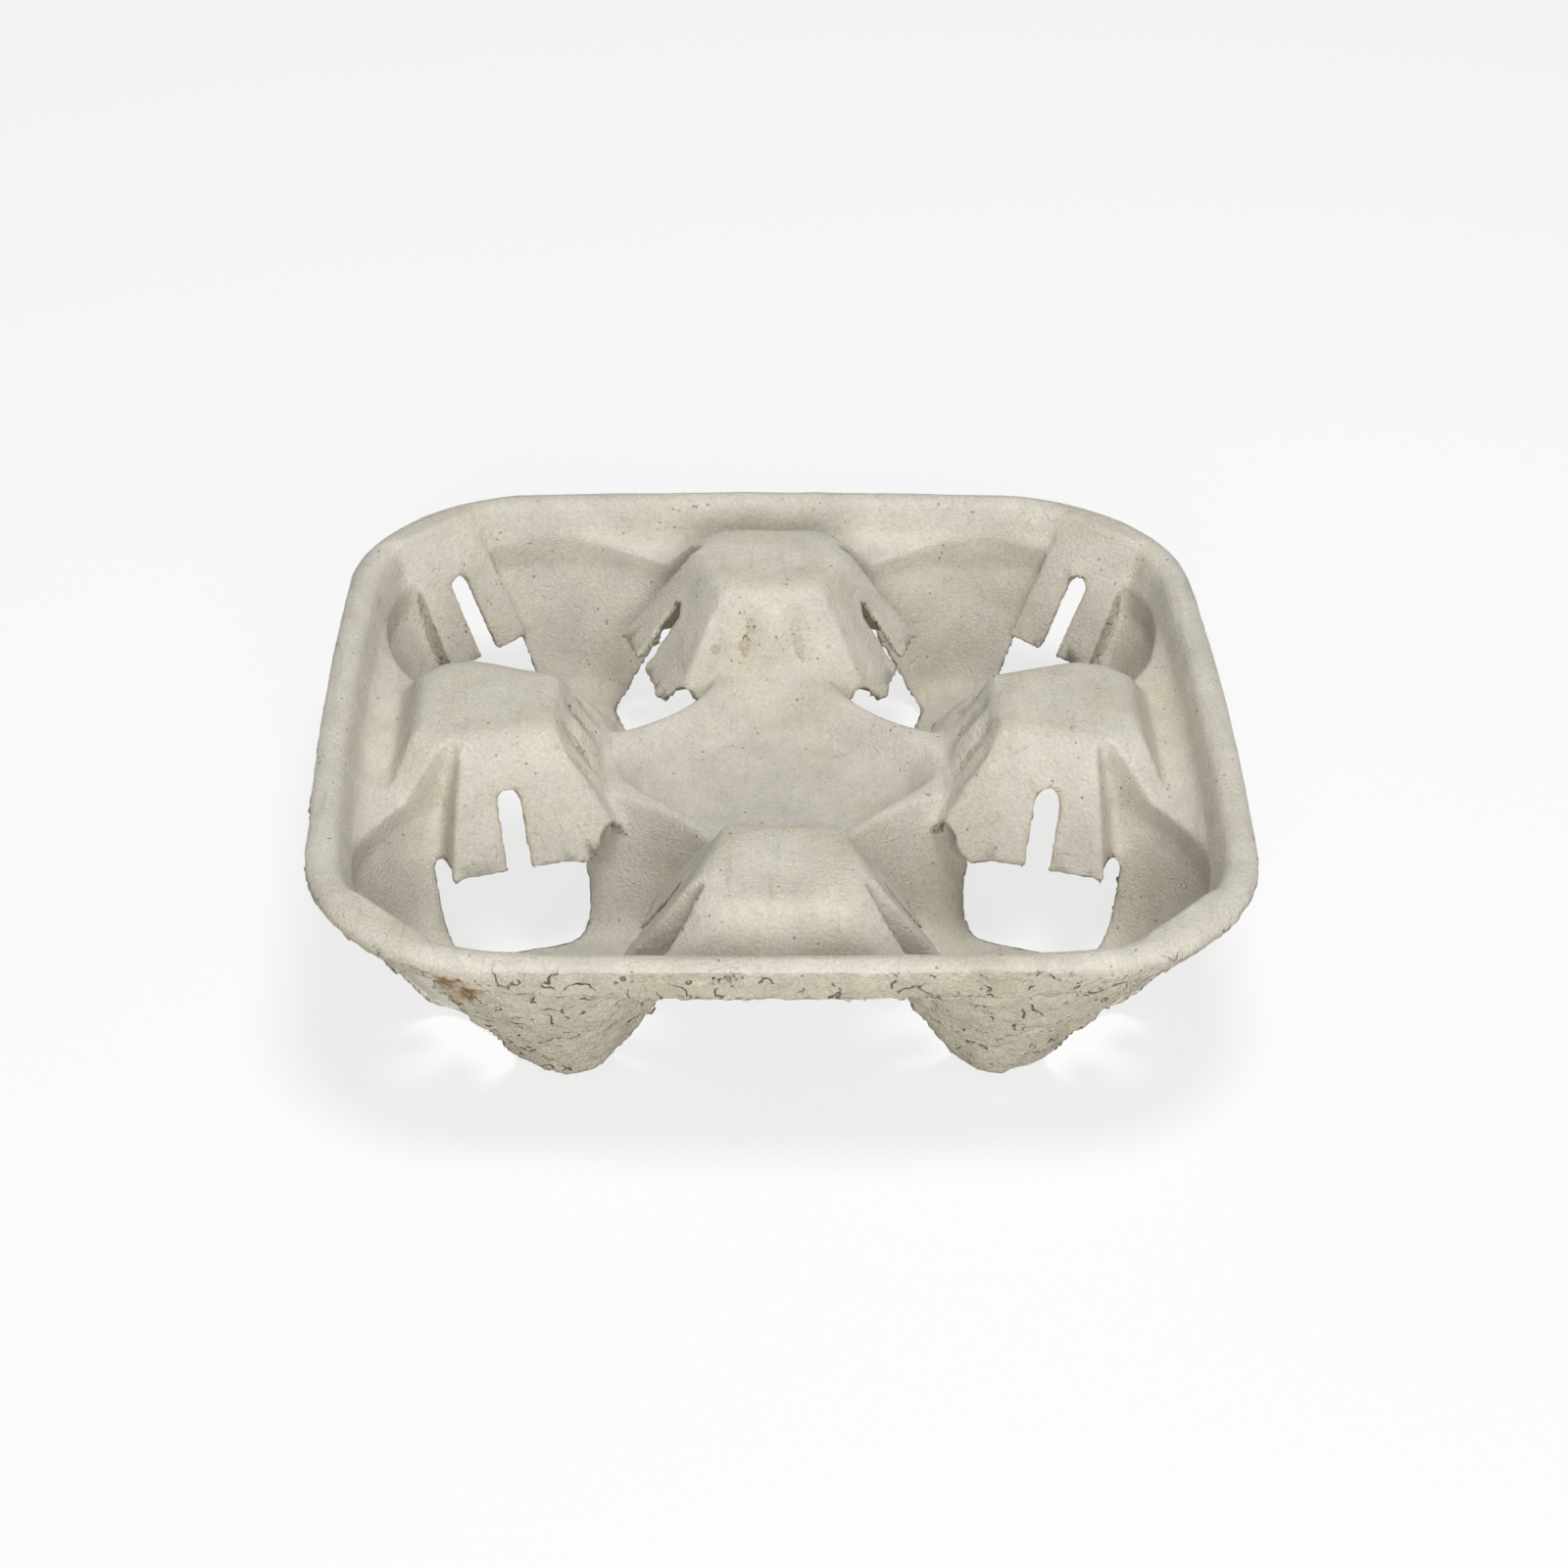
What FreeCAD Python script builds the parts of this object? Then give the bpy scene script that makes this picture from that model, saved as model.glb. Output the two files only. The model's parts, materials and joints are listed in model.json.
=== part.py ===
import FreeCAD, Part
import math
import os
from types import SimpleNamespace

import Sketcher
from FreeCAD import Placement, Rotation, Vector

# Moulded-pulp carrier tray for four cups, in millimetres, +Z up.
# The origin is the centre of the tray on the plane that its feet stand on, and +Y points to one straight side.
# The tray is one felted sheet: a shallow dish with a cup pocket in each corner, a hollow post in the
# middle of each side and a bowl in the centre. Its upper face is the skin of a hollow, and its lower face
# is the skin of the same hollow grown by the wall, so both faces follow the same sizes.
# One quarter is modelled, and mirrored twice.
SIZES = {
    "wall": 2.4,
    "tray_width": 214.8,
    "rim_height": 47.5,
    "side_bow_radius": 1140.0,
    "corner_radius": 49.0,
    "lip_width": 9.4,
    "lip_depth": 9.6,
    "lip_lean": 10.0,
    "lip_corner_tuck": 7.0,
    "lip_round": 4.5,
    "dish_lean": 5.0,
    "dish_round": 6.0,
    "valley_height": 36.5,
    "deck_height": 30.5,
    "well_radius": 46.0,
    "pocket_offset": 53.0,
    "pocket_radius": 41.8,
    "foot_offset": 24.3,
    "foot_radius": 6.2,
    "foot_side_turn": 14.0,
    "foot_round": 5.0,
    "boss_rise": 1.4,
    "boss_radius": 15.0,
    "boss_lean": 35.0,
    "bowl_reach": 31.0,
    "bowl_height": 23.0,
    "bowl_lean": 42.0,
    "bowl_corner_radius": 14.0,
    "post_rise": 1.0,
    "post_round": 6.0,
    "post_near": 52.0,
    "post_far": 83.5,
    "post_near_breadth": 25.0,
    "post_turn": 17.0,
    "post_corner": 8.0,
    "face_lean": 33.8,
    "outer_face_lean": 28.0,
    "flap_top_width": 18.0,
    "flap_foot_width": 33.0,
    "flap_foot_height": 21.2,
    "corner_flap_reach": 44.8,
    "corner_flap_top_width": 22.0,
    "corner_flap_foot_width": 27.0,
    "corner_flap_foot_height": 17.3,
    "slot_width": 5.0,
    "slot_length": 15.3,
    "corner_slot_length": 17.5,
    "window_reach": 18.3,
    "window_round": 8.5,
    "window_margin": 0.6,
}
OVERLAP = 1.0
FAR = 90.0
FOOT_ANGLE = 225
FEET = 3
UP = Vector(0, 0, 1)

DOC = FreeCAD.newDocument("cup_carrier")
cells = DOC.addObject("Spreadsheet::Sheet", "Sizes")
for row, (alias, value) in enumerate(SIZES.items(), start=1):
    cells.set(f"A{row}", alias)
    cells.set(f"B{row}", str(value))
    cells.setAlias(f"B{row}", alias)
DOC.recompute()


class Term:
    """A length or ratio worked out from the sheet: its expression for a feature, and its value for a sketch."""

    def __init__(self, text, value):
        self.text = text
        self.value = value

    def __add__(self, other):
        other = as_term(other)
        return Term(f"({self.text} + {other.text})", self.value + other.value)

    def __sub__(self, other):
        other = as_term(other)
        return Term(f"({self.text} - {other.text})", self.value - other.value)

    def __mul__(self, other):
        other = as_term(other)
        return Term(f"({self.text} * {other.text})", self.value * other.value)

    def __truediv__(self, other):
        other = as_term(other)
        return Term(f"({self.text} / {other.text})", self.value / other.value)

    def __neg__(self):
        return as_term(0) - self


def as_term(number):
    """A plain number as a term."""
    return number if isinstance(number, Term) else Term(f"{float(number):.6f}", float(number))


def tan(angle):
    """The tangent of an angle in degrees."""
    return Term(f"tan({angle.text})", math.tan(math.radians(angle.value)))


def cos(angle):
    """The cosine of an angle in degrees."""
    return Term(f"cos({angle.text})", math.cos(math.radians(angle.value)))


s = SimpleNamespace(**{alias: Term(f"Sizes.{alias}", value) for alias, value in SIZES.items()})
POST_TOP = s.rim_height + s.post_rise
FACE_SLOPE = tan(s.face_lean)
ROLL_START = s.rim_height - s.lip_round
FLAP_ANGLES = (180 - s.post_turn.value, s.post_turn.value - 90)


def bind(item, **terms):
    """Tie properties of a feature to the sheet: two underscores in a name stand for a dot."""
    for name, term in terms.items():
        item.setExpression(name.replace("__", "."), as_term(term).text)
    return item


def feature(kind, name, **properties):
    """A feature of the Part workbench with its inputs set."""
    item = DOC.addObject(f"Part::{kind}", name)
    for key, value in properties.items():
        setattr(item, key, value)
    return item


def joined(name, *items):
    return feature("MultiFuse", name, Shapes=list(items))


def less(name, base, tool):
    return feature("Cut", name, Base=base, Tool=tool)


def rounded(name, base, radius, is_chosen):
    """A fillet on the edges of a feature that a test on the edge picks out."""
    DOC.recompute()
    edges = base.Shape.Edges
    chosen = [index for index, edge in enumerate(edges, start=1) if is_chosen(edge)]
    item = feature("Fillet", name, Base=base)
    item.Edges = [(index, radius.value, radius.value) for index in chosen]
    return item


def line_sketch(name, height, points, turn=0.0):
    """A closed outline of straight lines on a level plane: each corner is a pair of terms."""
    sketch = DOC.addObject("Sketcher::SketchObject", name)
    sketch.Placement = Placement(Vector(), Rotation(UP, turn))
    bind(sketch, Placement__Base__z=height)
    places = [Vector(x.value, y.value, 0) for x, y in points]
    for start, end in zip(places, places[1:] + places[:1]):
        sketch.addGeometry(Part.LineSegment(start, end), False)
    count = len(points)
    for index, (x, y) in enumerate(points):
        sketch.addConstraint(Sketcher.Constraint("Coincident", index, 2, (index + 1) % count, 1))
        for axis, term in (("X", x), ("Y", y)):
            number = sketch.addConstraint(
                Sketcher.Constraint(f"Distance{axis}", -1, 1, index, 1, term.value))
            sketch.setExpression(f"Constraints[{number}]", term.text)
    return sketch


def arc(centre, radius, start, end):
    """An arc of a circle as sketch geometry, from one angle to another in radians."""
    return Part.ArcOfCircle(Part.Circle(centre, UP, radius), start, end)


def bowed_square(name, height, inset, tuck=0.0):
    """The outline of the tray, moved in by the inset: four slightly bowed sides and four round corners.

    The tuck makes the corners rounder than the rim's, which draws them in.
    """
    half = s.tray_width / 2 - inset
    side_radius = s.side_bow_radius - inset
    corner_radius = s.corner_radius - inset + tuck
    centre_out = side_radius - half
    gap = side_radius.value - corner_radius.value
    shift = (math.sqrt(2 * gap ** 2 - centre_out.value ** 2) - centre_out.value) / 2
    meet = math.atan2(shift, shift + centre_out.value)
    sketch = DOC.addObject("Sketcher::SketchObject", name)
    bind(sketch, Placement__Base__z=height)
    for quarter in range(4):
        turn = quarter * math.pi / 2
        spin = Rotation(UP, math.degrees(turn))
        side_centre = spin.multVec(Vector(-centre_out.value, 0, 0))
        corner_centre = spin.multVec(Vector(shift, shift, 0))
        sketch.addGeometry(arc(side_centre, side_radius.value, turn - meet, turn + meet), False)
        sketch.addGeometry(
            arc(corner_centre, corner_radius.value, turn + meet, turn + math.pi / 2 - meet), False)
    for index in range(8):
        sketch.addConstraint(Sketcher.Constraint("Tangent", index, 2, (index + 1) % 8, 1))
    for index in range(0, 8, 2):
        on_x_axis = index % 4 == 0
        sketch.addConstraint(Sketcher.Constraint("PointOnObject", index, 3, -1 if on_x_axis else -2))
        sign = -1 if index < 4 else 1
        axis = "X" if on_x_axis else "Y"
        number = sketch.addConstraint(
            Sketcher.Constraint(f"Distance{axis}", -1, 1, index, 3, sign * centre_out.value))
        sketch.setExpression(f"Constraints[{number}]", (centre_out * sign).text)
    for index in range(8):
        radius = corner_radius if index % 2 else side_radius
        number = sketch.addConstraint(Sketcher.Constraint("Radius", index, radius.value))
        sketch.setExpression(f"Constraints[{number}]", radius.text)
    return sketch


def loft(name, *sections):
    """A solid with straight flanks between outlines on level planes."""
    return feature("Loft", name, Sections=list(sections), Solid=True, Ruled=True)


def stepped_block(name, steps):
    """A solid with the tray's outline at each height: a step is a height, an inset and perhaps a corner tuck."""
    outlines = [bowed_square(f"{name}_{number}", *step) for number, step in enumerate(steps)]
    return loft(name, *outlines)


def quarter_turn(radius, count=3):
    """Points along a quarter circle, as how far each has gone level and how far upright."""
    angles = [math.pi / 2 * step / count for step in range(count + 1)]
    return [(radius * math.sin(angle), radius * (1 - math.cos(angle))) for angle in angles]


def sector_block(name, angle, low, high, low_width, high_width, low_reach, high_reach):
    """A block that points from the pocket's centre outwards at an angle, with a flat front that may lean."""
    block = feature("Wedge", name)
    block.Placement = Placement(Vector(), Rotation(UP, angle) * Rotation(Vector(1, 1, 1), 120))
    bind(
        block,
        Ymin=low, Ymax=high,
        Xmin=-low_width / 2, Xmax=low_width / 2, X2min=-high_width / 2, X2max=high_width / 2,
        Zmin=low_reach, Zmax=FAR, Z2min=high_reach, Z2max=FAR,
        Placement__Base__x=s.pocket_offset, Placement__Base__y=s.pocket_offset,
    )
    return block


def edge_steps(radius):
    """The rounding of an edge between a level face and a leaning one: drops, and how far each lies inside."""
    return [(as_term(0), radius * 0.534), (radius * 0.117, radius * 0.142), (radius * 0.444, as_term(0))]


def post_block(name, grow, turn):
    """The block of a post with four leaning faces, shrunk by the growth of the hollow round it."""
    top = POST_TOP - grow
    foot = s.flap_foot_height - s.wall * 2
    levels = [(top - drop, inside) for drop, inside in edge_steps(s.post_round - grow)]
    levels.append((foot, as_term(0)))
    sections = []
    for number, (height, inside) in enumerate(levels):
        drop = POST_TOP - height
        spread = drop * FACE_SLOPE - grow / cos(s.face_lean) - inside
        outer_spread = drop * tan(s.outer_face_lean) - grow / cos(s.outer_face_lean) - inside
        near = s.post_near - spread
        far = s.post_far + outer_spread
        near_half = s.post_near_breadth / 2 + spread / cos(s.post_turn) - spread * tan(s.post_turn)
        side_end = far - s.post_corner
        side_half = near_half + (side_end - near) * tan(s.post_turn)
        right = [(near_half, near), (side_half, side_end), (side_half - s.post_corner, far)]
        left = [(-x, y) for x, y in reversed(right)]
        sections.append(line_sketch(f"{name}_{number}", height, right + left, turn))
    return loft(name, *sections)


def rounded_square(name, height, half, radius):
    """A square with round corners that stands on its corner, seen from above, centred on the tray."""
    edge = half.value
    bend = radius.value
    sketch = DOC.addObject("Sketcher::SketchObject", name)
    sketch.Placement = Placement(Vector(), Rotation(UP, 45))
    bind(sketch, Placement__Base__z=height)
    for quarter in range(4):
        turn = quarter * math.pi / 2
        spin = Rotation(UP, math.degrees(turn))
        start = spin.multVec(Vector(edge, bend - edge, 0))
        end = spin.multVec(Vector(edge, edge - bend, 0))
        centre = spin.multVec(Vector(edge - bend, edge - bend, 0))
        sketch.addGeometry(Part.LineSegment(start, end), False)
        sketch.addGeometry(arc(centre, bend, turn, turn + math.pi / 2), False)
    for index in range(8):
        sketch.addConstraint(Sketcher.Constraint("Tangent", index, 2, (index + 1) % 8, 1))
    for index, kind, sign in ((0, "X", 1), (2, "Y", 1), (4, "X", -1), (6, "Y", -1)):
        upright = "Vertical" if kind == "X" else "Horizontal"
        sketch.addConstraint(Sketcher.Constraint(upright, index))
        number = sketch.addConstraint(Sketcher.Constraint(f"Distance{kind}", -1, 1, index, 1, sign * edge))
        sketch.setExpression(f"Constraints[{number}]", (half * sign).text)
        number = sketch.addConstraint(Sketcher.Constraint("Radius", index + 1, bend))
        sketch.setExpression(f"Constraints[{number}]", radius.text)
    return sketch


def dish(tag, grow):
    """The shallow dish inside the rim: a rounded floor edge, a steep wall and the inner half of the roll."""
    floor = s.valley_height - grow
    wall_inset = s.lip_width - grow
    low_inset = wall_inset + (ROLL_START - s.valley_height) * tan(s.dish_lean)
    bend = s.dish_round + grow
    steps = [(floor + up, low_inset + bend - out) for out, up in quarter_turn(bend)]
    if tag == "under":
        steps.append((s.rim_height, wall_inset))
    else:
        steps.append((ROLL_START, wall_inset))
        for out, up in quarter_turn(s.lip_round)[1:]:
            steps.append((ROLL_START + out, wall_inset - up))
        steps.append((POST_TOP + s.wall * 6, wall_inset - s.lip_round))
    return stepped_block(f"{tag}_dish", steps)


def lobed_outline(name, height, lobe_out, lobe_radius):
    """A level outline round the pocket's axis: three round lobes, joined by three bowed sides."""
    half_step = math.pi / FEET
    side_turn = math.radians(s.foot_side_turn.value)
    side_radius = lobe_radius + lobe_out * math.sin(half_step) / math.sin(side_turn)
    side_out = lobe_out * math.cos(half_step) - (side_radius - lobe_radius) * math.cos(side_turn)
    middle = Vector(s.pocket_offset.value, s.pocket_offset.value, height)
    edges = []
    for foot in range(FEET):
        turn = math.radians(FOOT_ANGLE) + 2 * half_step * foot
        towards = Vector(math.cos(turn), math.sin(turn), 0)
        lobe_end = half_step - side_turn
        lobe = arc(middle + towards * lobe_out, lobe_radius, turn - lobe_end, turn + lobe_end)
        turn += half_step
        towards = Vector(math.cos(turn), math.sin(turn), 0)
        side = arc(middle + towards * side_out, side_radius, turn - side_turn, turn + side_turn)
        edges += [lobe.toShape(), side.toShape()]
    return feature("Feature", name, Shape=Part.Wire(edges))


def side_share():
    """How far a side of the lobed outline moves out for each step that its lobes move out."""
    half_step = math.pi / FEET
    side_turn = math.radians(s.foot_side_turn.value)
    return math.cos(half_step) + math.sin(half_step) * math.tan(side_turn / 2)


def pocket_block(name, grow):
    """The tapered lower part of a cup pocket: a circle under the deck that narrows to three rounded feet."""
    depth = s.deck_height.value - s.wall.value
    lobe_slope = (s.pocket_radius.value - s.foot_offset.value - s.foot_radius.value) / depth
    side_slope = (s.pocket_radius.value - s.foot_radius.value - s.foot_offset.value * side_share()) / depth
    lobe_growth = grow.value * math.hypot(1, lobe_slope)
    side_growth = grow.value * math.hypot(1, side_slope)
    offset_growth = (lobe_growth - side_growth) / (1 - side_share())
    radius_growth = lobe_growth - offset_growth
    outlines = []
    for number, (drop, inside) in enumerate(edge_steps(s.foot_round + grow)):
        height = s.wall.value - grow.value + drop.value
        share = (height - s.wall.value) / depth
        lobe_out = s.foot_offset.value * (1 - share) + offset_growth
        lobe_radius = s.foot_radius.value + (s.pocket_radius.value - s.foot_radius.value) * share
        outlines.append(lobed_outline(f"{name}_{number}", height, lobe_out, lobe_radius + radius_growth - inside.value))
    outlines.append(lobed_outline(f"{name}_deck", s.deck_height.value, 0.0, (s.pocket_radius + grow).value))
    return loft(name, *outlines)


def at_pocket(kind, name, **terms):
    """A round primitive that stands on the pocket's axis."""
    return bind(feature(kind, name), Placement__Base__x=s.pocket_offset, Placement__Base__y=s.pocket_offset,
                **terms)


def hollow(tag, grow):
    """The space above the sheet in one quarter of the tray, grown outwards on every side."""
    core = feature("Cylinder", f"{tag}_core")
    bind(core, Radius=s.tray_width / 2 - s.lip_width * 1.6, Height=s.post_rise + s.wall * 4,
         Placement__Base__z=s.rim_height - s.wall * 2)
    well = feature("Cylinder", f"{tag}_well")
    bind(well, Radius=s.well_radius + grow, Height=s.valley_height - s.deck_height + OVERLAP,
         Placement__Base__z=s.deck_height - grow)
    shaft = at_pocket("Cylinder", f"{tag}_shaft", Radius=s.pocket_radius + grow,
                      Height=s.valley_height + s.dish_round - s.deck_height + OVERLAP,
                      Placement__Base__z=s.deck_height)
    pocket = pocket_block(f"{tag}_pocket", grow)
    bowl_levels = []
    for label, height in (("low", s.bowl_height - grow), ("high", s.deck_height + OVERLAP / 2)):
        spread = grow / cos(s.bowl_lean) - (s.deck_height - height) * tan(s.bowl_lean)
        bowl_levels.append(rounded_square(f"{tag}_bowl_{label}", height, s.bowl_reach + spread,
                                          s.bowl_corner_radius + spread))
    bowl = loft(f"{tag}_bowl", *bowl_levels)
    space = joined(f"{tag}_space", dish(tag, grow), core, well, shaft, pocket, bowl)
    return less(f"{tag}_hollow", space, solids_in(tag, grow))


def solids_in(tag, grow):
    """What stands in the hollow, shrunk as it grows: the posts, the corner panel and the floor's low boss."""
    column = at_pocket("Cylinder", f"{tag}_column", Radius=s.pocket_radius + grow, Height=POST_TOP + OVERLAP)
    below = feature("Box", f"{tag}_below_deck")
    bind(below, Length=s.tray_width, Width=s.tray_width, Height=s.deck_height - grow,
         Placement__Base__x=-s.tray_width / 2, Placement__Base__y=-s.tray_width / 2)
    foot = s.flap_foot_height - s.window_margin
    top = POST_TOP + OVERLAP
    panels = [
        sector_block(f"{tag}_panel_{number}", angle, foot, top, s.flap_foot_width - grow * 2,
                     s.flap_top_width - grow * 2, as_term(0), as_term(0))
        for number, angle in enumerate(FLAP_ANGLES, start=1)
    ]
    notch = less(f"{tag}_notch", joined(f"{tag}_open", column, below), joined(f"{tag}_panels", *panels))
    posts = []
    for label, turn in (("rear", 0), ("side", -90)):
        posts.append(less(f"{tag}_{label}_post", post_block(f"{tag}_{label}_block", grow, turn), notch))
    low = s.corner_flap_foot_height - s.window_margin
    high = s.rim_height - grow if tag == "under" else POST_TOP + s.wall * 4
    low_reach, high_reach = [
        s.corner_flap_reach - (s.rim_height - height) * FACE_SLOPE + grow / cos(s.face_lean)
        for height in (low, high)
    ]
    corner = sector_block(f"{tag}_corner", 45, low, high, s.corner_flap_foot_width - grow * 2,
                          s.corner_flap_top_width - grow * 2, low_reach, high_reach)
    boss = at_pocket("Cone", f"{tag}_boss", Height=s.boss_rise + OVERLAP, Placement__Base__z=s.wall - grow - OVERLAP,
                     Radius1=s.boss_radius - grow / 2 + tan(s.boss_lean) * OVERLAP,
                     Radius2=s.boss_radius - grow / 2 - s.boss_rise * tan(s.boss_lean))
    return joined(f"{tag}_solids", *posts, corner, boss)


def lip():
    """The outer half of the rolled rim with its leaning skirt, and the groove under it."""
    foot = s.rim_height - s.lip_depth
    skirt = (s.lip_depth - s.lip_round) * tan(s.lip_lean)
    seam = s.lip_width - s.wall / 2
    roll = [(ROLL_START + out, up) for out, up in quarter_turn(s.lip_round)]
    ring = less(
        "lip_ring",
        stepped_block("lip_outer", [(foot, skirt, s.lip_corner_tuck)] + roll),
        stepped_block("lip_inner", [(foot - OVERLAP, seam), (s.rim_height + OVERLAP, seam)]),
    )
    roof = s.rim_height - s.wall
    inner = s.lip_width - s.wall
    groove = less(
        "lip_groove",
        stepped_block("groove_outer", [(foot - OVERLAP, s.wall + skirt, s.lip_corner_tuck), (ROLL_START, s.wall),
                                       (roof, s.lip_round)]),
        stepped_block("groove_inner", [(foot - OVERLAP * 2, inner), (ROLL_START, inner),
                                       (roof + OVERLAP, s.lip_width - s.lip_round)]),
    )
    return ring, groove


def openings():
    """The windows through the foot of each flap panel, and the slot up the middle of each panel."""
    cuts = []
    places = (
        ("flap_1", FLAP_ANGLES[0], s.flap_foot_width, s.flap_foot_height, s.slot_length),
        ("flap_2", FLAP_ANGLES[1], s.flap_foot_width, s.flap_foot_height, s.slot_length),
        ("corner", 45, s.corner_flap_foot_width, s.corner_flap_foot_height, s.corner_slot_length),
    )
    for name, angle, width, height, slot_length in places:
        across = width + s.window_margin * 2
        window = sector_block(f"{name}_window", angle, as_term(-OVERLAP), height, across, across,
                              s.window_reach, s.window_reach)
        cuts.append(rounded(f"{name}_window_round", window, s.window_round, is_inner_upright))
        cuts.append(sector_block(f"{name}_slot", angle, height - OVERLAP, height + slot_length,
                                 s.slot_width, s.slot_width, as_term(OVERLAP), as_term(OVERLAP)))
    return joined("openings", *cuts)


def is_inner_upright(edge):
    """Whether an edge of a window is an upright one at its inner side, next to the pocket's centre."""
    centre = Vector(s.pocket_offset.value, s.pocket_offset.value, 0)
    middle = edge.CenterOfMass
    is_upright = edge.BoundBox.ZLength > OVERLAP
    return is_upright and Vector(middle.x, middle.y, 0).distanceToPoint(centre) < FAR / 2


upper = hollow("upper", as_term(0))
under = hollow("under", s.wall)
ring, groove = lip()
felt = less("felt", joined("grown", under, ring), joined("removed", upper, groove, openings()))
frame = feature("Box", "quarter_frame")
bind(frame, Length=FAR * 2, Width=FAR * 2, Height=FAR, Placement__Base__z=-OVERLAP)
quarter = feature("Common", "quarter", Base=felt, Tool=frame)
mirror_x = feature("Mirroring", "quarter_mirrored", Source=quarter, Normal=Vector(1, 0, 0))
half = joined("half", quarter, mirror_x)
mirror_y = feature("Mirroring", "half_mirrored", Source=half, Normal=Vector(0, 1, 0))
tray = joined("cup_carrier", half, mirror_y)
tray.Refine = True
tray.Label = "cup_carrier"
DOC.recompute()

for item in DOC.Objects:
    if {"Invalid", "Error"} & set(item.State):
        raise RuntimeError(f"{item.Name} failed: {item.State}")
if tray.Shape.isNull() or not tray.Shape.isValid():
    raise RuntimeError("the tray has no valid shape")
if len(tray.Shape.Solids) != 1:
    raise RuntimeError(f"the tray came out as {len(tray.Shape.Solids)} solids")

os.makedirs("parts", exist_ok=True)
tray.Shape.exportStep("parts/cup_carrier.step")
print("volume", round(tray.Shape.Volume, 1), "faces", len(tray.Shape.Faces), tray.Shape.BoundBox)
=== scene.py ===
import json
import math

import bpy
from mathutils import Matrix, Vector

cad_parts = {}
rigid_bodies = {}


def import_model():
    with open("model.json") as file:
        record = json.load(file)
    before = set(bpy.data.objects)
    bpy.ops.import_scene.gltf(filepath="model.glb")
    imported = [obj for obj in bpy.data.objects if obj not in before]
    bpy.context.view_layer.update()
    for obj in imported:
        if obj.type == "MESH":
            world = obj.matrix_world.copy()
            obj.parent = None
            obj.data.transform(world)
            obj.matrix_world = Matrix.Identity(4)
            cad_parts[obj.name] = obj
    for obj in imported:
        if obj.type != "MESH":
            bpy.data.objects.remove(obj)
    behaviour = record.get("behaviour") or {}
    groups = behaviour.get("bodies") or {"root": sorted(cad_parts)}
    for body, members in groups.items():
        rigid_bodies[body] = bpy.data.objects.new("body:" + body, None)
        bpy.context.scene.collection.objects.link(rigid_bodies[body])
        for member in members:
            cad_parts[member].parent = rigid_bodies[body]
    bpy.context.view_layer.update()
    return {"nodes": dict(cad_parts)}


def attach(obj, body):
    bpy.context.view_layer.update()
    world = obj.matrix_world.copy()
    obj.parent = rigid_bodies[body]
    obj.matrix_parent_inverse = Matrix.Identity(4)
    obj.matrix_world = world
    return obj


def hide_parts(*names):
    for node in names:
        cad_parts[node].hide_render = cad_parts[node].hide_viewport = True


# A moulded-pulp carrier tray for four cups. Its pressed upper side is fine and smooth, and its felt side,
# which shows on the skirt and the feet, is lumpy and cracked. All lengths are in metres.
MM = 0.001

# The sheet
VOXEL = 0.95 * MM
SOFTEN_PASSES = 8
MOST_TRIANGLES = 186000
WALL = 2.4 * MM

# The posts, and their shoulders' corners: how far aside and how high each one lies, in millimetres
FACE_LEAN = math.radians(33.8)
POST_TURN = math.radians(17)
POST_NEAR = 52 * MM
POST_TOP = 48.5 * MM
FLANK_REACH = 38.9 * MM
FLANK_CORNERS = ((8.0, 47.9), (12.7, 47.9), (22.4, 28.0), (19.0, 21.5), (12.0, 21.5))
FACE_CORNERS = ((6.0, 47.9), (12.3, 47.9), (22.2, 28.0), (19.5, 24.5), (13.0, 24.5), (6.0, 29.5))
PLATEAU_MIDDLE = 65 * MM
PLATEAU_RING_REACH = 11 * MM
PLATEAU_RING_WIDTH = 2.4 * MM

# The pressed drops on a post's inner face
DROP_NEAR = 36 * MM
DROP_FAR = 55 * MM
DROP_FOOT = 31 * MM
DROP_TOP = 46 * MM
DROP_FADE = 5 * MM
FACE_HALF = 18 * MM

# The pockets and their flaps
POCKET_OFFSET = 53 * MM
POCKET_FLOOR = 6 * MM
FLAPS = (
    # direction from the pocket's centre, height of the flap's foot, height of the slot's top
    (math.radians(163), 21.2 * MM, 36.5 * MM),
    (math.radians(-73), 21.2 * MM, 36.5 * MM),
    (math.radians(45), 17.3 * MM, 34.8 * MM),
)
FLAP_NEAR = 14 * MM
FLAP_FAR = 46 * MM
FLAP_HALF = 18 * MM
SLOT_HALF = 2.5 * MM
TORN_BAND = 1.6 * MM

# The rim and the skirt below it
CORNER_MIDDLE = 58.4 * MM
CORNER_RADIUS = 49 * MM
RIM_CREST = 3.2 * MM
SKIRT_FOOT = 36 * MM

# The pulp's colours, with painted light on the felt side and painted shade in its cracks, and the stain
# under the front left corner
PULP_TOP = (0.665, 0.628, 0.545, 1)
PULP_WARM = (0.610, 0.540, 0.400, 1)
# Partly the felt side's own yellower tone and partly painted light: made lighter than the top to stand in
# for the light on the skirt and feet
PULP_FELT_WITH_PAINTED_LIGHT = (0.775, 0.712, 0.565, 1)
# Painted shade: the dark brown put into the felt side's open cracks and pits, where shade falls
PULP_CRACK_SHADE = (0.17, 0.135, 0.085, 1)
PULP_SPECK = (0.20, 0.165, 0.12, 1)
PULP_STAIN = (0.30, 0.155, 0.045, 1)
STAIN_PLACE = Vector((-72, -97, 34)) * MM
STAIN_SIZE = 9 * MM

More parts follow.
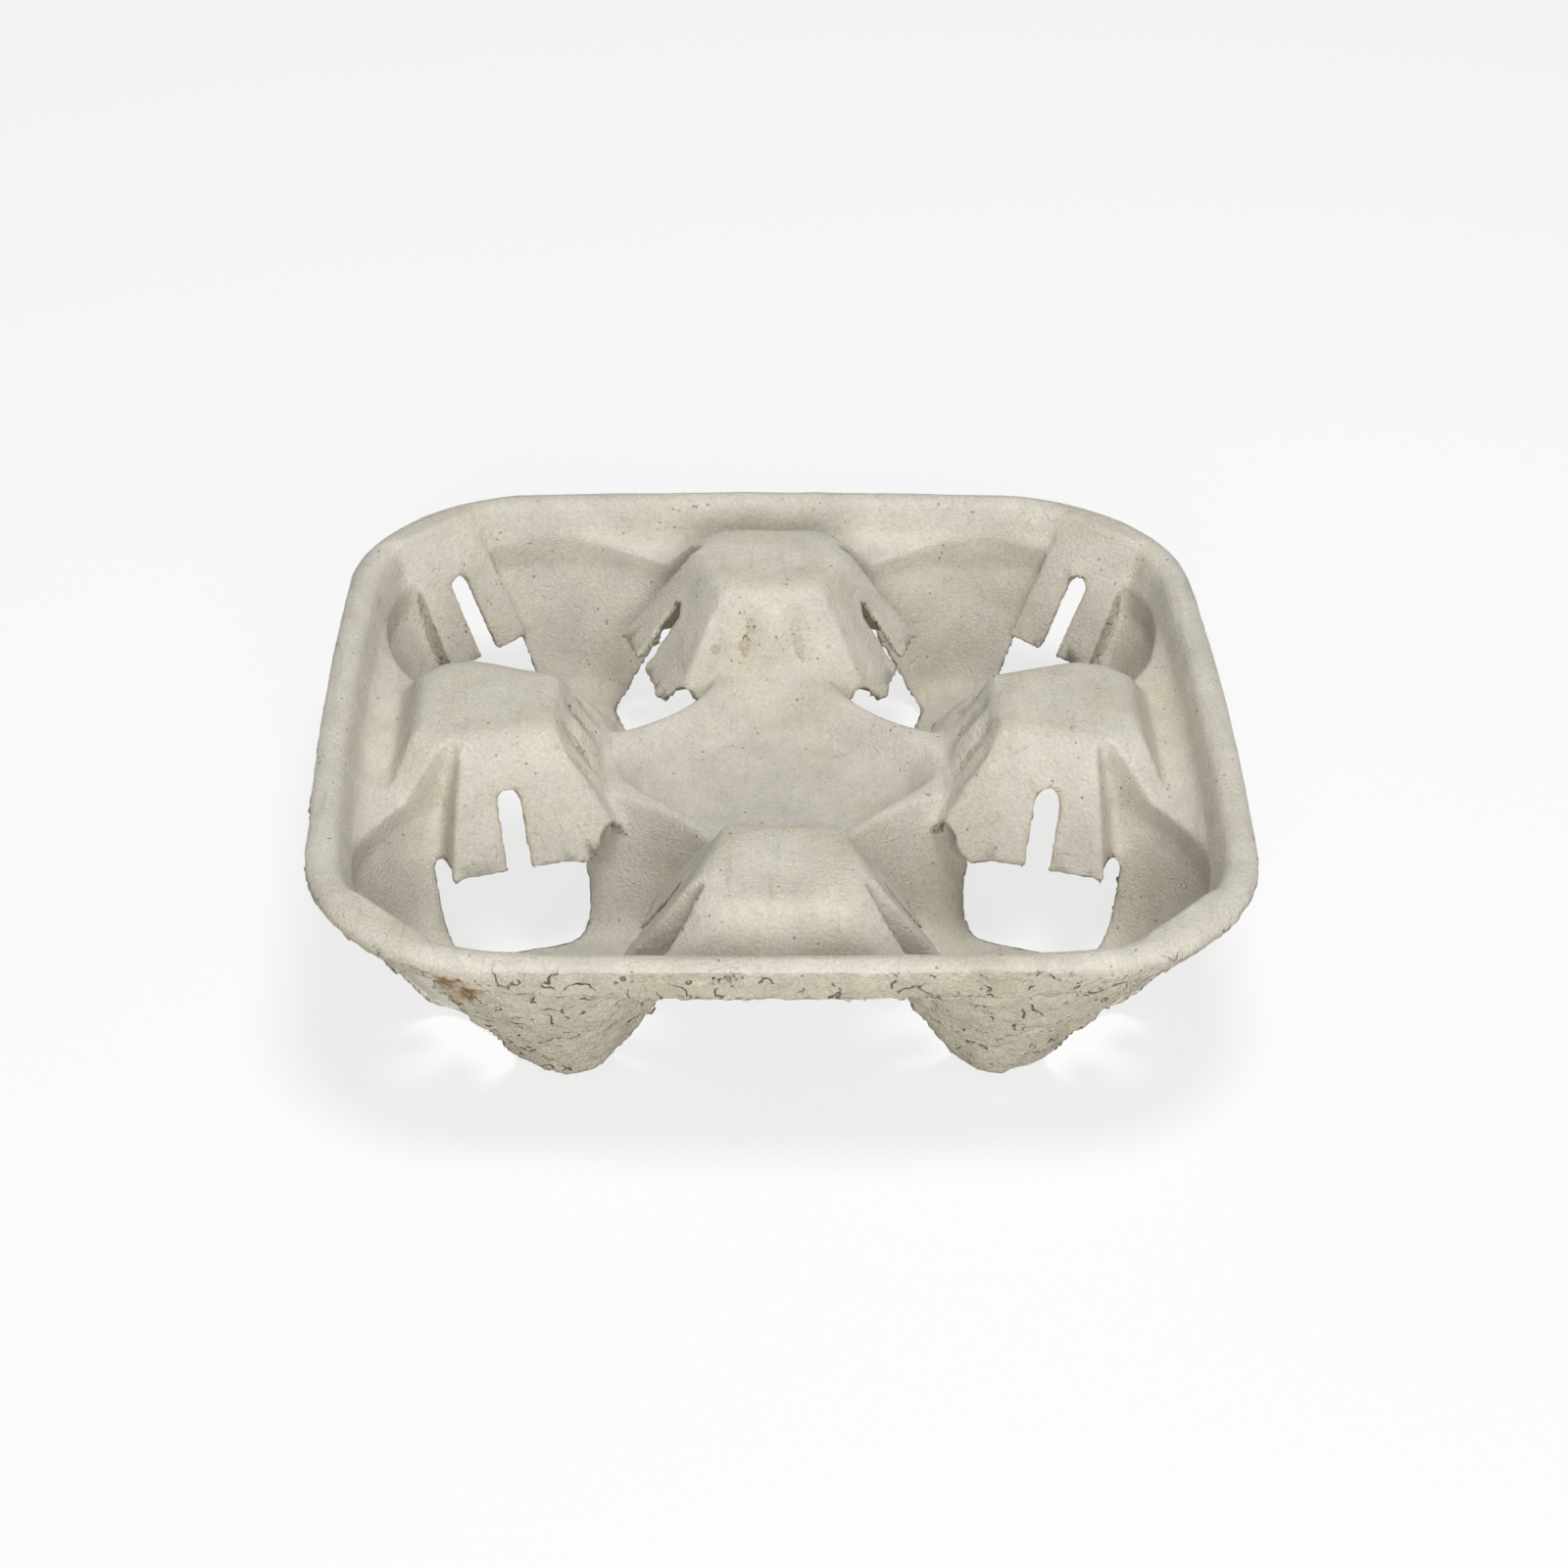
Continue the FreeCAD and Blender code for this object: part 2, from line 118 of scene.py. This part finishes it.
# The camera and the sky
PHOTO_PIXELS = 1600
FOCAL_PIXELS = 3525.4
SENSOR = 36.0
CAMERA_SHIFT_X = 0.0044
CAMERA_SHIFT_Y = -0.0487
CAMERA_HEIGHT_ANGLE = math.radians(31.68)
CAMERA_TURN = math.radians(1.8)
CAMERA_ROLL = math.radians(-0.97)
CAMERA_DISTANCE = 0.8087
CAMERA_TARGET = Vector((0, 0, 45.5 * MM))
SKY_STRENGTH = 0.14

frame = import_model()


def only(piece):
    """Select one piece and make it the active one."""
    bpy.ops.object.select_all(action="DESELECT")
    piece.select_set(True)
    bpy.context.view_layer.objects.active = piece


def apply_modifier(piece, kind, **settings):
    """Add a modifier with its settings and apply it."""
    only(piece)
    modifier = piece.modifiers.new(kind.lower(), kind)
    for name, value in settings.items():
        setattr(modifier, name, value)
    bpy.ops.object.modifier_apply(modifier=modifier.name)


def shoulder_walls():
    """The two walls of a post's shoulder beside its flap, as outlines and the way their thickness goes.

    They belong to the half post that is nearest to the +Y side and the +X side of it.
    """
    fall = math.tan(FACE_LEAN)
    out = Vector((-math.cos(POST_TURN), math.sin(POST_TURN), 0))
    aside = Vector((-math.sin(POST_TURN), -math.cos(POST_TURN), 0))
    centre = Vector((POCKET_OFFSET, POCKET_OFFSET, 0))
    up = Vector((0, 0, 1))
    flank = []
    for sideways, height in FLANK_CORNERS:
        reach = FLANK_REACH - (POST_TOP - height * MM) * fall
        flank.append(centre + out * reach + aside * sideways * MM + up * height * MM)
    face = []
    for across, height in FACE_CORNERS:
        face.append(Vector((across * MM, POST_NEAR - (POST_TOP - height * MM) * fall, height * MM)))
    inwards = math.cos(FACE_LEAN) * WALL
    down = up * -math.sin(FACE_LEAN) * WALL
    return (flank, out * inwards + down), (face, Vector((0, inwards, 0)) + down)


def shoulder_wall(outline, thickness):
    """One flat wall of a shoulder: a plane set out on its outline and drawn out to its thickness."""
    bpy.ops.object.select_all(action="DESELECT")
    bpy.ops.mesh.primitive_circle_add(vertices=len(outline), radius=10 * MM, fill_type="NGON")
    wall = bpy.context.active_object
    for vertex, place in zip(wall.data.vertices, outline):
        vertex.co = place
    bpy.ops.object.mode_set(mode="EDIT")
    bpy.ops.mesh.select_all(action="SELECT")
    bpy.ops.mesh.extrude_region_move(TRANSFORM_OT_translate={"value": thickness})
    bpy.ops.mesh.select_all(action="SELECT")
    bpy.ops.mesh.normals_make_consistent(inside=False)
    bpy.ops.object.mode_set(mode="OBJECT")
    return wall


def joined(pieces):
    """The first piece, with the others made part of it."""
    only(pieces[0])
    for piece in pieces:
        piece.select_set(True)
    bpy.ops.object.join()
    return pieces[0]


def add_shoulders():
    """The shoulders of all four posts, which join each post's inner face to its two flaps."""
    half_post = joined([shoulder_wall(outline, thickness) for outline, thickness in shoulder_walls()])
    apply_modifier(half_post, "MIRROR")
    posts = [half_post]
    for quarter in (1, 2, 3):
        only(half_post)
        bpy.ops.object.duplicate()
        post = bpy.context.active_object
        post.rotation_euler.z = quarter * math.pi / 2
        bpy.ops.object.transform_apply(location=False, rotation=True, scale=False)
        posts.append(post)
    return joined(posts)


def sheet_copy(node, name):
    """A closed copy of the tray's mesh and its posts' shoulders, in even small faces with soft creases."""
    only(node)
    bpy.ops.object.duplicate()
    piece = bpy.context.active_object
    piece.name = name
    piece.data.name = name
    bpy.ops.object.parent_clear(type="CLEAR_KEEP_TRANSFORM")
    bpy.ops.object.mode_set(mode="EDIT")
    bpy.ops.mesh.select_all(action="SELECT")
    bpy.ops.mesh.remove_doubles(threshold=0.01 * MM)
    bpy.ops.object.mode_set(mode="OBJECT")
    joined([piece, add_shoulders()])
    apply_modifier(piece, "REMESH", mode="VOXEL", voxel_size=VOXEL)
    apply_modifier(piece, "SMOOTH", factor=0.5, iterations=SOFTEN_PASSES)
    return piece


def pocket_centre(place):
    """The axis of the cup pocket that a place belongs to."""
    return Vector((math.copysign(POCKET_OFFSET, place.x), math.copysign(POCKET_OFFSET, place.y), 0))


def smooth_step(value):
    """A soft switch from 0 to 1."""
    value = min(1.0, max(0.0, value))
    return value * value * (3 - 2 * value)


def past_rim(place):
    """How far a place lies beyond the crest of the rim, seen from above."""
    sideways = max(0.0, abs(place.x) - CORNER_MIDDLE)
    endways = max(0.0, abs(place.y) - CORNER_MIDDLE)
    return math.hypot(sideways, endways) - CORNER_RADIUS + RIM_CREST


def felt_share(place, normal):
    """How far a place is on the felt side: 1 underneath and outside, 0 on the pressed upper side."""
    underneath = smooth_step((-0.05 - normal.z) / 0.25)
    skirt = smooth_step(past_rim(place) / (2 * MM)) * smooth_step((0.75 - normal.z) / 0.4)
    from_pocket = place - pocket_centre(place)
    outwards = normal.x * from_pocket.x + normal.y * from_pocket.y
    foot = 0.0
    if outwards > 0 and place.z < SKIRT_FOOT:
        foot = smooth_step((0.30 - normal.z) / 0.3)
    return max(underneath, skirt, foot)


def flap_place(place, turn):
    """A place as seen from its pocket's centre: how far out along a flap's direction, and how far aside."""
    local = place - pocket_centre(place)
    x = math.copysign(1, place.x) * local.x
    y = math.copysign(1, place.y) * local.y
    along = x * math.cos(turn) + y * math.sin(turn)
    aside = -x * math.sin(turn) + y * math.cos(turn)
    return along, aside


def torn_share(place):
    """How torn a place is: 1 on the edges of the slots and at the feet of the flaps."""
    torn = 0.0
    for turn, foot, slot_top in FLAPS:
        along, aside = flap_place(place, turn)
        if not FLAP_NEAR < along < FLAP_FAR or abs(aside) > FLAP_HALF:
            continue
        from_slot = abs(abs(aside) - SLOT_HALF)
        if foot - 2 * MM < place.z < slot_top + 2 * MM and abs(aside) < SLOT_HALF + TORN_BAND:
            torn = max(torn, smooth_step(1.4 - from_slot / TORN_BAND))
        torn = max(torn, smooth_step(1.2 - abs(place.z - foot) / TORN_BAND) * 0.8)
    return torn


def bump_at(distance, width):
    """A soft hump across a width."""
    return math.exp(-(distance / width) ** 2)


def post_side(place):
    """A place as seen from its post: how far across the post, and how far out from the tray's middle."""
    if abs(place.y) > abs(place.x):
        return place.x, abs(place.y)
    return place.y, abs(place.x)


def pressed_relief(place, normal):
    """The height of the pressed marks: rings on pocket floors, and drops on each post's inner face."""
    if normal.z < 0.2:
        return 0.0
    local = place - pocket_centre(place)
    reach = math.hypot(local.x, local.y)
    height = 0.0
    if place.z < POCKET_FLOOR:
        height += 0.55 * MM * bump_at(reach - 10.5 * MM, 1.5 * MM)
        height -= 0.35 * MM * bump_at(reach - 6.5 * MM, 1.5 * MM)
    across, along = post_side(place)
    on_face = DROP_NEAR < along < DROP_FAR and abs(across) < FACE_HALF
    if on_face and DROP_FOOT < place.z < DROP_TOP:
        from_top = DROP_TOP - place.z
        fade = smooth_step(from_top / DROP_FADE) * smooth_step((place.z - DROP_FOOT) / DROP_FADE)
        drop_middle = 4.6 * MM + from_top * 0.22
        height -= 1.5 * MM * bump_at(abs(across) - drop_middle, 2.0 * MM) * fade
        height += 0.9 * MM * bump_at(across, 2.2 * MM) * fade
        height -= 0.9 * MM * bump_at(abs(across) - 13.5 * MM, 2.2 * MM) * fade
    return height


def plateau_ring(place):
    """The drying mark round the top of a post: 1 on a soft ring near the plateau's edge."""
    if place.z < POST_TOP - 3 * MM:
        return 0.0
    across, along = post_side(place)
    reach = math.hypot(across / 1.15, along - PLATEAU_MIDDLE)
    return bump_at(reach - PLATEAU_RING_REACH, PLATEAU_RING_WIDTH)


def mark_zones(piece):
    """Press the relief into the sheet, and record the felt side, the torn edges and the drying marks."""
    mesh = piece.data
    felt = piece.vertex_groups.new(name="felt")
    torn = piece.vertex_groups.new(name="torn")
    felt_values = []
    torn_values = []
    ring_values = []
    moves = []
    for vertex in mesh.vertices:
        place = vertex.co
        normal = vertex.normal
        felt_values.append(felt_share(place, normal))
        torn_values.append(torn_share(place))
        ring_values.append(plateau_ring(place))
        moves.append(normal * pressed_relief(place, normal))
    for vertex, felt_value, torn_value, move in zip(mesh.vertices, felt_values, torn_values, moves):
        vertex.co += move
        felt.add([vertex.index], felt_value * (1 - 0.85 * torn_value), "REPLACE")
        torn.add([vertex.index], torn_value, "REPLACE")
    for name, values in (("felt_side", felt_values), ("torn_edge", torn_values), ("ring", ring_values)):
        attribute = mesh.attributes.new(name, "FLOAT", "POINT")
        attribute.data.foreach_set("value", values)


def cloud(name, size, basis, depth=2):
    """A procedural pattern for displacement."""
    texture = bpy.data.textures.new(name, "CLOUDS")
    texture.noise_scale = size
    texture.noise_basis = basis
    texture.noise_depth = depth
    return texture


def roughen(piece):
    """Lumps, cracks and grain on the felt side, a slight waviness all over, and frayed slot edges."""
    layers = (
        # pattern, height of the relief, level that stays in place, group of vertices
        (cloud("lumps", 4.6 * MM, "ORIGINAL_PERLIN"), 1.8 * MM, 0.85, "felt"),
        (cloud("cracks", 6.5 * MM, "VORONOI_CRACKLE", 1), 0.50 * MM, 1.0, "felt"),
        (cloud("grain", 2.0 * MM, "BLENDER_ORIGINAL"), 0.45 * MM, 0.9, "felt"),
        (cloud("waves", 16 * MM, "BLENDER_ORIGINAL"), 0.60 * MM, 1.0, ""),
        (cloud("fray", 3.0 * MM, "BLENDER_ORIGINAL"), 0.6 * MM, 0.15, "torn"),
    )
    for texture, strength, level, group in layers:
        apply_modifier(piece, "DISPLACE", texture=texture, texture_coords="LOCAL", strength=strength,
                       mid_level=level, vertex_group=group)
    for group in list(piece.vertex_groups):
        piece.vertex_groups.remove(group)
    share = MOST_TRIANGLES / (2 * len(piece.data.polygons))
    if share < 1:
        apply_modifier(piece, "DECIMATE", ratio=share)
    only(piece)
    bpy.ops.object.shade_smooth()


class Nodes:
    """Short calls that add and join the nodes of one material."""

    def __init__(self, name):
        self.material = bpy.data.materials.new(name)
        self.material.use_nodes = True
        self.tree = self.material.node_tree
        self.tree.nodes.clear()
        self.place = self.add("ShaderNodeTexCoord").outputs["Object"]

    def add(self, kind, links=None, **settings):
        """A node whose sockets get values or links."""
        node = self.tree.nodes.new(kind)
        for name, value in settings.items():
            setattr(node, name, value)
        for socket, value in (links or {}).items():
            if isinstance(value, bpy.types.NodeSocket):
                self.tree.links.new(value, node.inputs[socket])
            else:
                node.inputs[socket].default_value = value
        return node

    def noise(self, scale, detail=3.0, roughness=0.55, place=None):
        """A cloudy pattern from 0 to 1."""
        links = {"Vector": place or self.place, "Scale": scale, "Detail": detail, "Roughness": roughness}
        return self.add("ShaderNodeTexNoise", links).outputs["Fac"]

    def ramp(self, value, low, high, low_out=0.0, high_out=1.0):
        """A value led from one range into another, and held at its ends."""
        links = {"Value": value, "From Min": low, "From Max": high, "To Min": low_out, "To Max": high_out}
        return self.add("ShaderNodeMapRange", links, clamp=True).outputs["Result"]

    def maths(self, operation, first, second):
        """One sum of two values."""
        return self.add("ShaderNodeMath", {0: first, 1: second}, operation=operation).outputs[0]

    def mix(self, share, first, second, blend="MIX"):
        """Two colours mixed."""
        node = self.add("ShaderNodeMix", data_type="RGBA", blend_type=blend)
        for index, value in ((0, share), (6, first), (7, second)):
            if isinstance(value, bpy.types.NodeSocket):
                self.tree.links.new(value, node.inputs[index])
            else:
                node.inputs[index].default_value = value
        return node.outputs[2]

    def attribute(self, name):
        """A value that the mesh carries."""
        return self.add("ShaderNodeAttribute", attribute_name=name).outputs["Fac"]

    def stretched(self, turn, scale):
        """The place, turned and stretched."""
        links = {"Vector": self.place, "Rotation": turn, "Scale": scale}
        return self.add("ShaderNodeMapping", links).outputs["Vector"]


def pulp_colour(n, felt, torn):
    """Warm grey pulp: mottled, with drying marks, fibres, flecks and one brown stain; the felt side is
    lighter, partly its own tone and partly painted light.
    """
    # Painted light, in part: the felt side takes a lighter colour that stands in for the light on the skirt
    # and feet
    colour = n.mix(felt, PULP_TOP, PULP_FELT_WITH_PAINTED_LIGHT)
    warm = n.ramp(n.noise(38, 4.0), 0.50, 0.68, 0.0, 0.45)
    colour = n.mix(warm, colour, PULP_WARM)
    ring = n.maths("MULTIPLY", n.attribute("ring"), n.ramp(n.noise(120, 3.0), 0.35, 0.6, 0.1, 0.6))
    colour = n.mix(ring, colour, PULP_WARM)
    colour = n.mix(n.maths("MULTIPLY", torn, 0.45), colour, PULP_WARM)
    mottle = n.ramp(n.noise(95, 5.0), 0.3, 0.7, 0.90, 1.07)
    grain = n.ramp(n.noise(1300, 3.0, 0.7), 0.28, 0.72, 0.84, 1.10)
    shade = n.maths("MULTIPLY", mottle, grain)
    for turn in ((0.3, 0.2, 0.5), (0.1, 0.6, 2.0)):
        fibre = n.noise(420, 2.0, place=n.stretched(turn, (1.0, 0.10, 1.0)))
        shade = n.maths("MULTIPLY", shade, n.ramp(fibre, 0.62, 0.74, 1.0, 0.90))
        shade = n.maths("MULTIPLY", shade, n.ramp(fibre, 0.26, 0.36, 1.06, 1.0))
    tint = n.add("ShaderNodeCombineColor", {"Red": shade, "Green": shade, "Blue": shade}).outputs["Color"]
    colour = n.mix(1.0, colour, tint, "MULTIPLY")
    flecks = n.add("ShaderNodeTexVoronoi", {"Vector": n.place, "Scale": 420.0})
    rare = n.ramp(n.noise(230, 1.0), 0.56, 0.62)
    fleck = n.maths("MULTIPLY", n.ramp(flecks.outputs["Distance"], 0.10, 0.20, 0.75, 0.0), rare)
    colour = n.mix(fleck, colour, PULP_SPECK)
    from_stain = n.add("ShaderNodeVectorMath", {0: n.place, 1: STAIN_PLACE}, operation="DISTANCE")
    edge = n.ramp(n.noise(260, 4.0), 0.3, 0.7, -4 * MM, 4 * MM)
    ragged = n.maths("ADD", from_stain.outputs["Value"], edge)
    stain = n.maths("MULTIPLY", n.ramp(ragged, STAIN_SIZE * 0.6, STAIN_SIZE, 0.85, 0.0), felt)
    colour = n.mix(stain, colour, PULP_STAIN)
    return colour


def open_cracks(n):
    """Short crack lines and pits: 1 where the pulp is open."""
    level = n.maths("ABSOLUTE", n.maths("SUBTRACT", n.noise(160, 2.0, 0.5), 0.5), 0.0)
    short = n.ramp(n.noise(270, 1.0), 0.56, 0.62)
    line = n.maths("MULTIPLY", n.ramp(level, 0.0, 0.022, 0.8, 0.0), short)
    holes = n.add("ShaderNodeTexVoronoi", {"Vector": n.place, "Scale": 300.0}).outputs["Distance"]
    pit = n.maths("MULTIPLY", n.ramp(holes, 0.05, 0.22, 0.8, 0.0), n.ramp(n.noise(190, 2.0), 0.57, 0.62))
    return n.maths("MAXIMUM", line, pit)


def pulp_relief(n, felt, open_crack):
    """A fine screen grain all over, and coarse lumps and open cracks on the felt side."""
    weave = n.add("ShaderNodeTexVoronoi", {"Vector": n.place, "Scale": 1250.0}).outputs["Distance"]
    fine = n.maths("ADD", n.maths("MULTIPLY", n.noise(1900, 2.0), 0.6), n.maths("MULTIPLY", weave, 0.4))
    fine_bump = n.add("ShaderNodeBump", {"Strength": 0.65, "Distance": 0.45 * MM, "Height": fine})
    rough = n.maths("SUBTRACT", n.noise(300, 6.0, 0.68), n.maths("MULTIPLY", open_crack, 0.7))
    rough = n.maths("MULTIPLY", rough, n.ramp(felt, 0.0, 1.0, 0.08, 1.0))
    lumpy = n.add("ShaderNodeBump", {"Strength": 1.0, "Distance": 2.6 * MM, "Height": rough,
                                     "Normal": fine_bump.outputs["Normal"]})
    return lumpy.outputs["Normal"]


def pulp_material():
    """Paper pulp, smooth where it was pressed and rough on its felt side, with painted shade darkening the
    felt side's cracks and pits.
    """
    n = Nodes("pulp")
    felt = n.attribute("felt_side")
    colour = pulp_colour(n, felt, n.attribute("torn_edge"))
    open_crack = open_cracks(n)
    # Painted shade: the felt side's open cracks and pits are darkened towards a dark brown, standing in for
    # the shade inside them
    crack = n.maths("MULTIPLY", open_crack, felt)
    colour = n.mix(n.maths("MULTIPLY", crack, 0.7), colour, PULP_CRACK_SHADE)
    bump = pulp_relief(n, felt, open_crack)
    shader = n.add("ShaderNodeBsdfPrincipled",
                   {"Base Color": colour, "Roughness": 0.93, "Specular IOR Level": 0.18, "Normal": bump})
    n.add("ShaderNodeOutputMaterial", {"Surface": shader.outputs["BSDF"]})
    return n.material


def seen_directly(nodes):
    """1 for a ray from the camera, also by way of a mirror or glass."""
    path = nodes.add("ShaderNodeLightPath").outputs
    either = nodes.maths("MAXIMUM", path["Is Camera Ray"], path["Is Glossy Ray"])
    return nodes.maths("MAXIMUM", either, path["Is Transmission Ray"])


def floor_material():
    """A white table that keeps the shadow."""
    n = Nodes("table")
    matt = n.add("ShaderNodeBsdfDiffuse", {"Color": (0.62, 0.62, 0.62, 1)}).outputs[0]
    white = n.add("ShaderNodeBsdfDiffuse", {"Color": (0.22, 0.22, 0.22, 1)}).outputs[0]
    glow = n.add("ShaderNodeEmission", {"Color": (1, 1, 1, 1), "Strength": 0.76}).outputs[0]
    lit = n.add("ShaderNodeAddShader", {0: white, 1: glow}).outputs[0]
    both = n.add("ShaderNodeMixShader", {0: seen_directly(n), 1: matt, 2: lit}).outputs[0]
    n.add("ShaderNodeOutputMaterial", {"Surface": both})
    return n.material


def add_floor():
    """A wide white table under the tray."""
    bpy.ops.object.select_all(action="DESELECT")
    bpy.ops.mesh.primitive_plane_add(size=8)
    floor = bpy.context.active_object
    floor.name = "table"
    floor.data.materials.append(floor_material())


def add_lamp(name, place, size, power):
    """A soft square lamp that faces the tray."""
    bpy.ops.object.light_add(type="AREA", location=place)
    lamp = bpy.context.active_object
    lamp.name = name
    lamp.data.shape = "DISK"
    lamp.data.size = size
    lamp.data.energy = power
    lamp.rotation_euler = (CAMERA_TARGET - Vector(place)).to_track_quat("-Z", "Y").to_euler()


def add_world():
    """An even sky for the light, and plain white where the camera sees it."""
    world = bpy.data.worlds.new("studio")
    world.use_nodes = True
    bpy.context.scene.world = world
    tree = world.node_tree
    tree.nodes.clear()
    path = tree.nodes.new("ShaderNodeLightPath")
    light = tree.nodes.new("ShaderNodeBackground")
    light.inputs["Color"].default_value = (1, 1, 1, 1)
    light.inputs["Strength"].default_value = SKY_STRENGTH
    white = tree.nodes.new("ShaderNodeBackground")
    white.inputs["Color"].default_value = (1, 1, 1, 1)
    white.inputs["Strength"].default_value = 1.0
    both = tree.nodes.new("ShaderNodeMixShader")
    output = tree.nodes.new("ShaderNodeOutputWorld")
    tree.links.new(path.outputs["Is Camera Ray"], both.inputs[0])
    tree.links.new(light.outputs[0], both.inputs[1])
    tree.links.new(white.outputs[0], both.inputs[2])
    tree.links.new(both.outputs[0], output.inputs["Surface"])


def add_camera():
    """The camera, which looks down on one straight side with a long lens."""
    bpy.ops.object.camera_add()
    camera = bpy.context.active_object
    camera.data.sensor_width = SENSOR
    camera.data.lens = FOCAL_PIXELS / PHOTO_PIXELS * SENSOR
    camera.data.shift_x = CAMERA_SHIFT_X
    camera.data.shift_y = CAMERA_SHIFT_Y
    rise = math.sin(CAMERA_HEIGHT_ANGLE)
    level = math.cos(CAMERA_HEIGHT_ANGLE)
    right = Vector((1, 0, 0))
    up = Vector((0, rise, level))
    ahead = Vector((0, level, -rise))
    rolled_right = right * math.cos(CAMERA_ROLL) - up * math.sin(CAMERA_ROLL)
    rolled_up = right * math.sin(CAMERA_ROLL) + up * math.cos(CAMERA_ROLL)
    axes = Matrix((rolled_right, rolled_up, -ahead)).transposed().to_4x4()
    axes.translation = -ahead * CAMERA_DISTANCE
    camera.matrix_world = Matrix.Translation(CAMERA_TARGET) @ Matrix.Rotation(-CAMERA_TURN, 4, "Z") @ axes
    bpy.context.scene.camera = camera


add_camera()
add_floor()
add_world()
add_lamp("overhead_lamp", (0.12, 0.0, 1.30), 0.55, 10.2)
add_lamp("front_lamp", (0.04, -1.30, 0.45), 0.80, 12.5)

tray = sheet_copy(frame["nodes"]["cup_carrier"], "pulp_tray")
mark_zones(tray)
roughen(tray)
tray.data.materials.clear()
tray.data.materials.append(pulp_material())
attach(tray, "root")
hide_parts("cup_carrier")

bpy.context.scene.view_settings.view_transform = "Standard"
